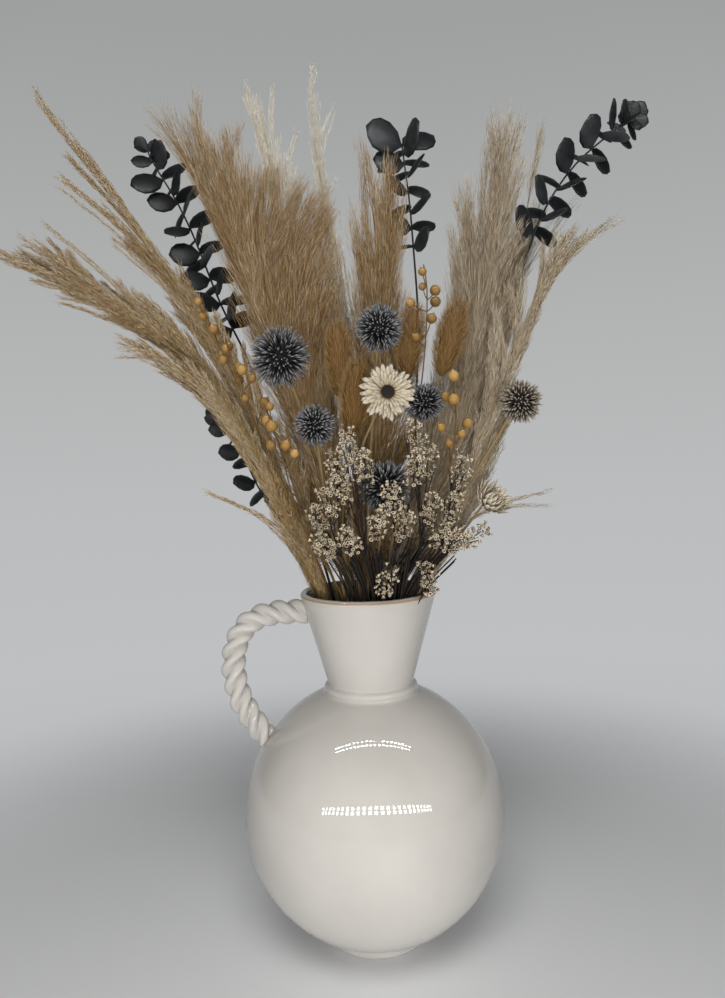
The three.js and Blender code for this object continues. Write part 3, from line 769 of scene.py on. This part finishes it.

# A plume's habit: locks of strands, how loosely a lock's strands lie, where on the stem they begin, how
# far they reach along it, how deep the plume is, how its tones vary, how its strands sway, and how pale
# its top is, partly its own bleached colour and partly painted light. Outlines are (across, up) and tips
# end at (across, back, up), all in millimetres.
REED = dict(locks=48, strands=4, loose=1.3, begin=0.42, reach=0.17, depth=9, contrast=0.6, sway=2,
            bleached_and_lit=0.35)
PAMPAS = dict(REED, strands=5, loose=2.6, reach=0.26, depth=15, sway=6)
PLUMES = {
    "reed_plume_left_high": ("reed", dict(REED, hairs=21000, outline=[
        (-46, 300), (-72, 350), (-92, 400), (-110, 440), (-125, 475), (-141, 505), (-162, 538), (-181, 562),
        (-202, 596), (-217, 618), (-233, 645), (-241, 670), (-226, 652), (-208, 632), (-196, 613),
        (-184, 588), (-165, 566), (-145, 546), (-118, 515), (-88, 478), (-62, 430), (-42, 380), (-26, 310)],
        tips=[(0.66, (-225, -14, 609), 0.5, 5), (0.56, (-184, -16, 558), 0.4, 3),
              (0.86, (-213, -8, 636), 0.6, 4), (0.9, (-242, -8, 671), 0.5, 4)])),
    "reed_plume_left_low": ("reed", dict(REED, hairs=24000, locks=64, outline=[
        (-53, 300), (-66, 330), (-80, 360), (-98, 405), (-118, 436), (-146, 474), (-175, 495), (-205, 511),
        (-228, 522), (-247, 531), (-268, 547), (-240, 549), (-226, 558), (-209, 546), (-190, 537),
        (-173, 525), (-150, 512), (-128, 490), (-106, 455), (-80, 405), (-50, 350), (-34, 300)],
        tips=[(0.66, (-231, -36, 571), 0.7, 2), (0.6, (-220, -32, 512), 0.35, 2),
              (0.7, (-247, -36, 556), 0.5, 5), (0.86, (-270, -30, 549), 0.7, 4)])),
    "reed_plume_left_front": ("reed", dict(REED, hairs=15000, locks=40, outline=[
        (-47, 300), (-66, 345), (-84, 383), (-98, 412), (-114, 430), (-132, 447), (-150, 462), (-172, 480),
        (-150, 474), (-128, 466), (-106, 448), (-86, 422), (-62, 385), (-44, 340), (-30, 300)],
        tips=[(0.86, (-173, -56, 480), 0.5, 4), (0.55, (-112, -56, 369), 0.6, 2)])),
    "pampas_plume_golden_left": ("golden", dict(PAMPAS, hairs=52000, locks=180, depth=18, outline=[
        (-34, 300), (-56, 350), (-72, 400), (-84, 455), (-94, 506), (-107, 552), (-119, 590), (-130, 625),
        (-140, 645), (-152, 660), (-136, 652), (-123, 670), (-110, 642), (-99, 632), (-91, 648), (-80, 622),
        (-66, 612), (-44, 612), (-24, 602), (-14, 566), (-10, 520), (-12, 460), (-14, 400), (-14, 350),
        (-12, 300)],
        tips=[(0.4, (-68, 8, 388), 0.1, 6), (0.4, (-73, 8, 408), 0.2, 6), (0.4, (-56, 6, 368), 0.0, 6),
              (0.4, (-66, 8, 400), 0.1, 6), (0.85, (-123, 10, 673), 0.95, 5),
              (0.85, (-158, 12, 660), 0.6, 3), (0.8, (-91, 12, 652), 0.4, 4)])),
    "pampas_plume_golden_centre": ("golden", dict(PAMPAS, hairs=30000, locks=90, depth=15, outline=[
        (-14, 300), (-20, 350), (-18, 400), (-13, 450), (-10, 500), (-6, 553), (-2, 588), (4, 622),
        (9, 643), (15, 630), (19, 606), (30, 622), (36, 606), (40, 580), (40, 552), (38, 515), (42, 470),
        (52, 430), (50, 390), (40, 350), (24, 300)],
        tips=[(0.42, (-24, -4, 392), 0.0, 6), (0.42, (-4, -6, 404), 0.1, 6), (0.42, (12, -10, 386), 0.0, 6),
              (0.42, (27, -8, 412), 0.1, 6), (0.42, (38, -12, 388), 0.0, 6), (0.42, (50, -4, 424), 0.1, 6),
              (0.3, (-13, -2, 350), 0.0, 6), (0.3, (-16, -2, 362), 0.0, 6), (0.4, (36, -2, 424), 0.0, 6)])),
    "pampas_plume_pale_back_left": ("pale", dict(
        PAMPAS, hairs=13000, locks=26, depth=8, bleached_and_lit=0.6, outline=[
        (-84, 500), (-84, 560), (-76, 606), (-64, 640), (-67, 690), (-56, 640), (-48, 650), (-43, 610),
        (-38, 560), (-34, 500)],
        tips=[(0.8, (-67, 50, 698), 0.9, 6), (0.78, (-48, 50, 658), 0.9, 4),
              (0.92, (-87, 43, 691), 0.0, 6)])),
    "pampas_plume_pale_back_centre": ("pale", dict(
        PAMPAS, hairs=13000, locks=30, depth=8, bleached_and_lit=0.6, outline=[
        (-46, 500), (-44, 560), (-40, 610), (-37, 655), (-34, 700), (-30, 672), (-26, 632), (-23, 604),
        (-16, 584), (-10, 540), (-6, 500)],
        tips=[(0.84, (-17, 52, 679), 0.9, 3), (0.8, (-19, 50, 618), 0.9, 3),
              (0.92, (-34, 54, 713), 0.9, 6)])),
    "pampas_plume_grey_right": ("grey", dict(PAMPAS, hairs=38500, locks=120, outline=[
        (16, 300), (24, 350), (38, 390), (52, 440), (63, 480), (68, 515), (71, 550), (73, 590), (86, 600),
        (97, 617), (107, 638), (116, 647), (131, 642), (133, 622), (127, 600), (132, 572), (128, 540),
        (120, 500), (111, 450), (100, 400), (84, 350), (50, 300)],
        tips=[(0.85, (107, 0, 649), 0.7, 4), (0.85, (131, 0, 642), 0.5, 4)])),
    "pampas_plume_grey_back": ("grey", dict(PAMPAS, hairs=13000, locks=40, depth=9, bleached_and_lit=0.5, outline=[
        (96, 460), (108, 510), (124, 560), (140, 600), (152, 612), (160, 597), (156, 576), (147, 558),
        (138, 520), (124, 470)],
        tips=[(0.9, (157, 50, 660), 0.5, 5), (0.75, (179, 46, 598), 0.4, 3)])),
    "reed_plume_right_low": ("grey_reed", dict(REED, hairs=19000, locks=60, outline=[
        (40, 300), (62, 350), (80, 400), (92, 450), (102, 500), (119, 528), (140, 547), (163, 557),
        (180, 560), (154, 538), (140, 511), (131, 484), (120, 456), (112, 410), (100, 375), (82, 335),
        (54, 300)],
        tips=[(0.86, (192, -22, 565), 0.8, 3), (0.7, (151, -22, 532), 0.5, 4),
              (0.5, (138, -24, 354), 0.3, 2)])),
}
# Each kind of grass: its material and slot, colours from foot to tip with a pale tip end that is partly
# painted light, the light that comes through, and its hairs.
GREY = ((0.0, "#7E6B50"), (0.5, "#CFBD9F"), (1.0, "#FBF3E2"))
GRASSES = {
    "reed": ("reed straw", "reed_straw", ((0.0, "#7A5F36"), (0.5, "#C2A473"), (1.0, "#F6EBD3")), 0.35,
             dict(Length=12.0, Thickness=0.30, LeastLean=0.06, MostLean=0.34, Scatter=1.1 * MM)),
    "golden": ("golden pampas", "pampas_golden", ((0.0, "#5F4319"), (0.45, "#BB965E"), (1.0, "#F8EDD3")), 0.35,
               dict(Length=22.0, Thickness=0.22, LeastLean=0.03, MostLean=0.40, Scatter=2.6 * MM)),
    "pale": ("pale pampas", "pampas_pale", ((0.0, "#A98D60"), (0.4, "#F0E5CC"), (1.0, "#FFFFFA")), 0.2,
             dict(Length=14.0, Thickness=0.22, LeastLean=0.03, MostLean=0.34, Scatter=1.0 * MM)),
    "grey": ("grey pampas", "pampas_grey", GREY, 0.35,
             dict(Length=21.0, Thickness=0.22, LeastLean=0.03, MostLean=0.42, Scatter=2.6 * MM)),
    "grey_reed": ("grey pampas", "reed_straw", GREY, 0.35,
                  dict(Length=15.0, Thickness=0.26, LeastLean=0.05, MostLean=0.38, Scatter=1.5 * MM)),
}


def make_plumes():
    """All plumes, each in its kind of grass."""
    straws = {}
    for seed, (name, (kind, habit)) in enumerate(PLUMES.items()):
        label, slot, colours, glow, hairs = GRASSES[kind]
        if label not in straws:
            straws[label] = dried_grass(label, *colours, glow=glow)
        make_plume(name, habit, dict(hairs, Shape=HAIR), straws[label], slot, seed)


# ---- Stems and heads from their CAD shapes ----

def ball(name):
    """The centre and radius of a round CAD head."""
    low, high = (np.array(corner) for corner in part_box(name))
    return (low + high) / 2, float((high - low)[0]) / 2


SAME_PLACE = 0.01 * MM


def lumps(name, longest, least):
    """Centres of the small closed lumps of a CAD spray: corners joined by edges shorter than longest, where
    the group is wider than least."""
    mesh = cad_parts[name].data
    keys, merged_to = np.unique(np.round(corners(name) / SAME_PLACE).astype(np.int64), axis=0,
                                return_inverse=True)
    merged_to = merged_to.ravel()
    places = keys * SAME_PLACE
    group = list(range(len(places)))

    def root(k):
        while group[k] != k:
            k = group[k]
        return k

    for edge in mesh.edges:
        a, b = (merged_to[v] for v in edge.vertices)
        if np.linalg.norm(places[a] - places[b]) < longest:
            group[root(a)] = root(b)
    roots = np.array([root(k) for k in range(len(places))])
    centres = []
    for own in np.unique(roots):
        members = places[roots == own]
        low, high = members.min(0), members.max(0)
        if min(high - low) > least:
            centres.append((low + high) / 2)
    return centres


INTO_HEAD = 3 * MM


def make_stems(name, lines, radii, material, slot, nodes, sides=7):
    """Round stems, each with a radius at every point, as one piece."""
    start = lines_mesh(lines, radius=radii, tone=[np.full(len(line), 0.5) for line in lines])
    hand_in(grown(name, start, RULES["stems"], Material=material, Sides=sides), slot, *nodes)


def make_stalk(name, low_radius, top_radius, material):
    """A bare stalk, carried on a little way into its head."""
    line = stem_line(name)
    line = np.vstack([line, line[-1] + unit(line[-1] - line[-3]) * INTO_HEAD])
    make_stems(name + "_round", [line], [np.linspace(low_radius, top_radius, len(line)) * MM], material,
               "dried_stalk", [name])


def make_copies(name, marks, shape, material, slot, nodes, seed=0):
    """One copy of a shape at each (place, aim, side, size) mark."""
    piece = grown(name, marks_mesh(marks), RULES["marks"], Shape=shape, Material=material, Seed=seed)
    hand_in(piece, slot, *nodes)


def sphere(radius, centre, detail=3, stretch=(1, 1, 1)):
    shape = bmesh.new()
    bmesh.ops.create_icosphere(shape, subdivisions=detail, radius=radius)
    mesh = as_mesh(shape, "skin", smooth=False)
    mesh.transform(Matrix.Translation(centre) @ Matrix.Diagonal((*stretch, 1)))
    return mesh


def frame_matrix(centre, upward, sideways=(1, 0, 0)):
    """Turns a shape made along +Z to point along a direction at a place."""
    z = unit(np.array(upward, float))
    x = np.array(sideways, float)
    x = unit(x - z * (x @ z))
    y = np.cross(z, x)
    return Matrix.Translation(centre) @ Matrix(np.column_stack([x, y, z]).tolist()).to_4x4()


# ---- Globe thistles ----

THISTLE_FLORET = [(0, 0.5, 0.5, 0), (0.45, 0.55, 0.55, 0), (0.72, 0.85, 0.85, 0), (1.0, 0, 0, 0)]
THISTLE_COUNT, FADED_ONE = 6, 5
# Shares of a head's radius: where the florets stand, the core that they hide, and a floret's length.
THISTLE_SKIN, THISTLE_CORE, THISTLE_LENGTH = 0.5, 0.52, 0.53
THISTLE_SPACING = 1.12 / 17


def thistle_paint(name, base, middle, tip):
    """A dried globe thistle: matt steel-blue florets, greyer at the tips, and nearly black at their feet where
    they meet: painted shade between the florets.
    """
    return toned(name, 0.75, dict(along=0.85, shade=0.25), (0.15, base), (0.55, middle), (1.0, tip))


def make_thistles(stalk):
    blue = thistle_paint("thistle blue", "#0F0F0F", "#3D3E41", "#8E8E90")
    brown = thistle_paint("thistle faded", "#1D1814", "#5E554C", "#AFA496")
    floret = shape_object(lofted("thistle_floret", THISTLE_FLORET, 5))
    for k in range(1, THISTLE_COUNT + 1):
        name = f"thistle_head_{k}"
        centre, radius = ball(name)
        material = brown if k == FADED_ONE else blue
        spikes = grown(name + "_florets", sphere(radius * THISTLE_SKIN, centre), RULES["skin"], Shape=floret,
                       Material=material, Seed=k, Spacing=radius * THISTLE_SPACING,
                       Length=radius * THISTLE_LENGTH / MM, Thickness=0.72, MostLean=0.16)
        hand_in(spikes, "thistle_blue", name)
        # The hidden core takes the florets' darkest colour, nearly black: painted shade deep inside the head.
        core = sphere(radius * THISTLE_CORE, centre, 2)
        core.materials.append(material)
        core.shade_smooth()
        hand_in(put_in_scene(name + "_core", core), "thistle_blue", name)
        make_stalk(f"thistle_stalk_{k}", 1.5, 1.1, stalk)


# ---- Strawflowers ----

OPEN_PETAL = [(0, 0.05, 0.014, 0), (0.3, 0.11, 0.015, -0.03), (0.65, 0.135, 0.015, -0.02),
              (0.88, 0.09, 0.013, 0.02), (1.0, 0, 0, 0.06)]
BUD_PETAL = [(0, 0.05, 0.015, 0), (0.3, 0.14, 0.016, 0.1), (0.65, 0.14, 0.016, 0.05), (1.0, 0, 0, -0.2)]
# Rings of petals, from the outside in: how many, distance from the middle, lift in degrees, length.
OPEN_RINGS = [(28, 4.6, 2, 15.0), (27, 4.6, 10, 14.5), (26, 4.6, 20, 13.0), (24, 4.5, 32, 10.0),
              (20, 4.4, 46, 6.5)]
BUD_RINGS = [(17, 3.0, 22, 14.5), (16, 2.8, 36, 14.5), (14, 2.5, 50, 14.0), (12, 2.1, 63, 13.0),
             (8, 1.6, 75, 11.0)]
SETBACK = 2 * MM


def petal_marks(centre, facing, rings, dice):
    """Places of petals in rings about the way that the flower faces."""
    z = unit(facing)
    x = unit(np.cross(UP, z))
    y = np.cross(z, x)
    marks = []
    for ring, (count, distance, lift, size) in enumerate(rings):
        for k in range(count):
            turn = 2 * math.pi * (k + 0.5 * ring) / count + dice.uniform(-0.09, 0.09)
            out = x * math.cos(turn) + y * math.sin(turn)
            tilt = math.radians(lift + dice.uniform(-7, 7))
            aim = out * math.cos(tilt) + z * math.sin(tilt)
            flat = np.cross(aim, z * math.cos(tilt) - out * math.sin(tilt))
            side = unit(flat + z * dice.uniform(-0.25, 0.35))
            place = centre + (out * distance + z * ring * 0.5) * MM
            marks.append((place, aim, side, size * dice.uniform(0.82, 1.1)))
    return marks


def make_strawflowers(stalk):
    """One open flower with a dark button and one half-closed cup. Papery everlasting petals: dry, slightly
    glossy, cream-white with a warmer foot."""
    paper = toned("strawflower petal", 0.42, dict(along=0.8, shade=0.25), (0.0, "#8A7550"), (0.4, "#C4B89F"),
                  (1.0, "#D3CAB8"), glow=0.25)
    dark = toned("strawflower centre", 0.8, dict(rim=1.0), (0.72, "#0B0806"), (0.9, "#6B4518"),
                 (1.0, "#8A5F22"), ior=1.5)
    dice = np.random.default_rng(5)
    flowers = [
        (shape_object(lofted("petal", OPEN_PETAL, 8, cup=2.2)), OPEN_RINGS, 5.6, 0.8),
        (shape_object(lofted("bud_petal", BUD_PETAL, 6, cup=-2.0)), BUD_RINGS, 1.8, 1.5),
    ]
    for k, (petal, rings, disc, rise) in enumerate(flowers, 1):
        name = f"strawflower_head_{k}"
        centre, facing = centre_and_axis(name, 2, -BACK)
        make_copies(name + "_petals", petal_marks(centre - facing * SETBACK, facing, rings, dice), petal,
                    paper, "strawflower_petal", [name], k)
        profile = [(0, -3, 0), (disc, -2.5, 1), (disc, rise - 1.0, 1), (disc * 0.9, rise, 0.9),
                   (disc * 0.6, rise, 0.5), (0, rise - 0.4, 0)]
        button = turned(name + "_button", profile, 40, "rim")
        button.transform(frame_matrix(centre, facing))
        button.materials.append(dark)
        hand_in(put_in_scene(name + "_button", button), "strawflower_petal", name)
        make_stalk(f"strawflower_stalk_{k}", 1.0, 0.9, stalk)


# ---- Hare's-tail grass ----

TAIL_WIDTH, TAIL_LENGTH = 0.72, 0.86
FUR = dict(Spacing=0.95 * MM, Length=9.5, Thickness=0.2, MostLean=0.45)
FUR_SWEEP = 1.3


def make_bunny_tails(stalk):
    """Soft egg-shaped heads: a core in the fur's colour under hairs that sweep upwards."""
    # The fur's hairs are paler towards their tips: a painted glow of light through the thin tips.
    fur = dried_grass("hare's-tail fur", (0.0, "#805F31"), (0.5, "#BF9B66"), (1.0, "#EBD6AE"), glow=0.3)
    for k in range(1, 5):
        name = f"bunny_tail_head_{k}"
        centre, axis = centre_and_axis(name, 0, UP)
        off = corners(name) - centre
        along, across = (np.abs(off @ way).max() for way in (axis, unit(np.cross(BACK, axis))))
        skin = sphere(1.0, (0, 0, 0), 4, (across * TAIL_WIDTH, across * TAIL_WIDTH, along * TAIL_LENGTH))
        skin.transform(frame_matrix(centre, axis))
        core = skin.copy()
        core.shade_smooth()
        core.materials.append(fur)
        hand_in(put_in_scene(name + "_core", core), "bunny_tail", name)
        hairs = grown(name + "_fur", skin, RULES["skin"], Shape=HAIR, Material=fur, Seed=k,
                      Sweep=axis * FUR_SWEEP, **FUR)
        hand_in(hairs, "bunny_tail", name)
        make_stalk(f"bunny_tail_stalk_{k}", 1.0, 0.7, stalk)


# ---- Eucalyptus ----

# Leaf pairs, the length of the first and of the fifth pair, the step between pairs, and the small leaves
# crowded at the tip.
SPRIGS = ((17, 13, 27, 11.5, 2), (8, 36, 24, 15, 0), (11, 20, 28, 14, 7), (8, 16, 22, 14, 2))
LEAF = [(0, 0.02, 0.012, 0), (0.06, 0.09, 0.012, 0), (0.2, 0.30, 0.012, 0.01), (0.45, 0.42, 0.012, 0.02),
        (0.7, 0.40, 0.012, 0.0), (0.88, 0.25, 0.01, -0.03), (1.0, 0, 0, -0.06)]
LEAF_STEM = (1.5, 0.7)
TOWARDS_FRONT = np.array([0, -1.6, 0])
PAIRS_TO_GROW = 4


def leaf_paint():
    """Preserved eucalyptus dyed nearly black: a waxy leaf with a soft sheen and a paler bloom."""
    material, tree, shader = new_material("black eucalyptus", None, 0.5, PLANT_IOR)
    place = node(tree, "TexCoord").outputs["Object"]
    bloom = node(tree, "TexNoise", {"Vector": place, "Scale": 160.0, "Detail": 4.0})
    tone = blend_of(tree, (bloom.outputs["Fac"], 0.7), (attribute(tree, "shade"), 0.4))
    colour = ramp(tree, tone, (0.3, "#0E0F10"), (0.6, "#1B1E20"), (0.9, "#303437"))
    tree.links.new(colour, shader.inputs["Base Color"])
    return material


def make_eucalyptus():
    paint = leaf_paint()
    leaf = shape_object(lofted("eucalyptus_leaf", LEAF, 10, cup=-0.5))
    dice = np.random.default_rng(11)
    for k, (pairs, first, grown_up, step, tuft) in enumerate(SPRIGS, 1):
        name = f"eucalyptus_sprig_{k}"
        line = stem_line(name, 2.6 * MM)
        length = length_of(line) / MM
        marks = []
        for young in range(tuft):
            turn = young * GOLDEN_ANGLE
            out = unit(np.array([math.cos(turn), -0.3, math.sin(turn)]) + 0.3 * unit(line[-1] - line[-4]))
            side = unit(np.cross(out, [0.3 * math.sin(turn), 1.0, 0.2]))
            marks.append((line[-1] - UP * MM * young * 0.7, out, side, dice.uniform(12, 16)))
        below = 6.0 if tuft > 2 else 2.0
        for pair in range(pairs):
            place, ahead, _, _ = place_on(line, 1 - below / length)
            progress = min(1, pair / PAIRS_TO_GROW)
            below += step * (0.45 + 0.55 * progress)
            size = first + (grown_up - first) * progress
            quarter = (pair % 2) * math.pi / 2 + 0.5
            for side in (0, math.pi):
                turn = quarter + side + dice.uniform(-0.25, 0.25)
                out = np.array([math.cos(turn), math.sin(turn), 0.0])
                out = unit(out + ahead * (0.35 - out @ ahead) + ahead * dice.uniform(-0.3, 0.2))
                normal = np.cross(np.cross(out, ahead), out) + TOWARDS_FRONT + dice.uniform(-0.4, 0.4, 3)
                marks.append((place, out, unit(np.cross(normal, out)), size * dice.uniform(0.88, 1.1)))
        make_copies(name + "_leaves", marks, leaf, paint, "eucalyptus_leaf", [name], k)
        make_stems(name + "_stem", [line], [np.linspace(*LEAF_STEM, len(line)) * MM], paint,
                   "eucalyptus_leaf", [name])


# ---- Flax ----

POD = [(-4.4, 0.9, 0.9, 0), (-3.9, 2.2, 2.2, 0), (-2.0, 3.9, 3.9, 0), (0, 4.4, 4.4, 0), (2.2, 3.7, 3.7, 0),
       (3.6, 1.9, 1.9, 0), (4.4, 0.6, 0.6, 0), (5.6, 0, 0, 0)]
POD_SHIFT = 4.5
TWIG_POINTS = 8


def make_flax():
    """Sprays of dry golden pods, each on its own side stalk."""
    gold = toned("golden flax", 0.45, dict(along=0.5, shade=0.5), (0.0, "#5C431F"), (0.5, "#8F6D36"),
                 (1.0, "#B9945A"))
    pod = shape_object(lofted("flax_pod", POD, 10))
    dice = np.random.default_rng(3)
    for k in range(1, 6):
        name = f"flax_spray_{k}"
        line = stem_line(name, 2.2 * MM)
        marks, twigs, radii = [], [line], [np.linspace(0.9, 0.5, len(line)) * MM]
        for centre in lumps(name, 7 * MM, 6 * MM):
            centre = centre + dice.uniform(-POD_SHIFT, POD_SHIFT, 3) * [1, 1, 0.8] * MM
            below = line[line[:, 2] < centre[2] - 5 * MM]
            root = below[np.argmin(np.linalg.norm(below - (centre - UP * 9 * MM), axis=1))]
            knee = (root + centre) / 2 + UP * -1.2 * MM
            twigs.append(evenly(np.array([root, knee, centre]), TWIG_POINTS, 1))
            radii.append(np.full(TWIG_POINTS, 0.4) * MM)
            aim = unit(centre - root + dice.uniform(-3, 3, 3) * MM)
            marks.append((centre, aim, unit(np.cross(aim, BACK)), dice.uniform(0.68, 1.0)))
        make_copies(name + "_pods", marks, pod, gold, "flax_gold", [name], k)
        make_stems(name + "_stems", twigs, radii, gold, "flax_gold", [name], 6)


# ---- Limonium ----

FLORET = [(0, 0.3, 0.3, 0), (1.7, 0.8, 0.8, 0), (3.3, 1.9, 1.5, 0), (3.0, 0.9, 0.7, 0), (2.0, 0.4, 0.4, 0)]
HUB_HEIGHT = 322 * MM
SIDE_STEMS, SIDE_ROOT = 16, 0.62
BRANCH_POINTS, FORKS, FORK_POINTS = 12, 3, 5
FLORETS = 62


def make_limonium():
    """Sprays of tiny papery cups, crowded along the ends of wiry branches. Each cup is pale at its rim and darker
    towards its foot and down inside, nearly black at the bottom: painted shade in the cup and between the crowded
    florets.
    """
    paper = toned("limonium floret", 0.7, dict(along=1.0, shade=0.2), (0.0, "#43382A"), (0.35, "#96876E"),
                  (0.6, "#D2C7B2"), (0.8, "#8C7A60"), (1.0, "#1B1511"))
    wire, _, _ = new_material("limonium stem", "#1E1815", 0.6)
    floret = shape_object(lofted("floret", FLORET, 5))
    dice = np.random.default_rng(9)
    for k in range(1, 6):
        name = f"limonium_spray_{k}"
        centres = lumps(name, 9 * MM, 9 * MM)
        stem = stem_line(name, 2.4 * MM)
        hub = stem[np.argmin(np.abs(stem[:, 2] - HUB_HEIGHT))]
        stem = stem[stem[:, 2] <= hub[2]]
        lines, radii, marks = [stem], [np.full(len(stem), 1.0) * MM], []
        for _ in range(SIDE_STEMS):
            off = dice.uniform(-12, 12, 3) * [1, 0.7, 0.6] * MM
            low = int(len(stem) * SIDE_ROOT)
            lines.append(stem[low:] + off * np.linspace(0.3, 1, len(stem) - low)[:, None])
            radii.append(np.full(len(stem) - low, 0.55) * MM)
        for centre in centres:
            axis = unit(centre - hub + np.array([0, 0, 0.004]))
            knee = (hub + centre) / 2 + dice.uniform(-3, 3, 3) * MM
            lines.append(evenly(np.array([hub, knee, centre + axis * 7 * MM]), BRANCH_POINTS, 2))
            radii.append(np.linspace(0.8, 0.4, BRANCH_POINTS) * MM)
            for _ in range(FORKS):
                fork = centre + dice.uniform(-9, 9, 3) * MM
                start = hub + (centre - hub) * dice.uniform(0.1, 0.6)
                lines.append(evenly(np.array([start, fork]), FORK_POINTS, 0))
                radii.append(np.full(FORK_POINTS, 0.35) * MM)
            across = unit(np.cross(axis, UP + 0.01))
            for j in range(FLORETS):
                along = dice.uniform(-14, 12)
                turn = j * GOLDEN_ANGLE
                out = across * math.cos(turn) + np.cross(axis, across) * math.sin(turn)
                spread = dice.uniform(0.5, 7.0) * (1 - 0.03 * abs(along))
                aim = unit(out + axis * dice.uniform(0.2, 1.4))
                marks.append((centre + (axis * along + out * spread) * MM, aim, unit(np.cross(aim, axis)),
                              dice.uniform(0.6, 1.05)))
        make_copies(name + "_florets", marks, floret, paper, "limonium_floret", [name], k)
        make_stems(name + "_stems", lines, radii, wire, "limonium_floret", [name], 6)


make_camera()
make_floor()
make_light()
GLAZE = glazed_stoneware()
STALK = dried_grass("dried stalk", (0.0, "#6F5B3C"), (0.6, "#A58F68"), (1.0, "#C7B48F"), glow=0.1)
make_jug(GLAZE)
make_handle(GLAZE)
make_plumes()
make_thistles(STALK)
make_strawflowers(STALK)
make_bunny_tails(STALK)
make_eucalyptus()
make_flax()
make_limonium()
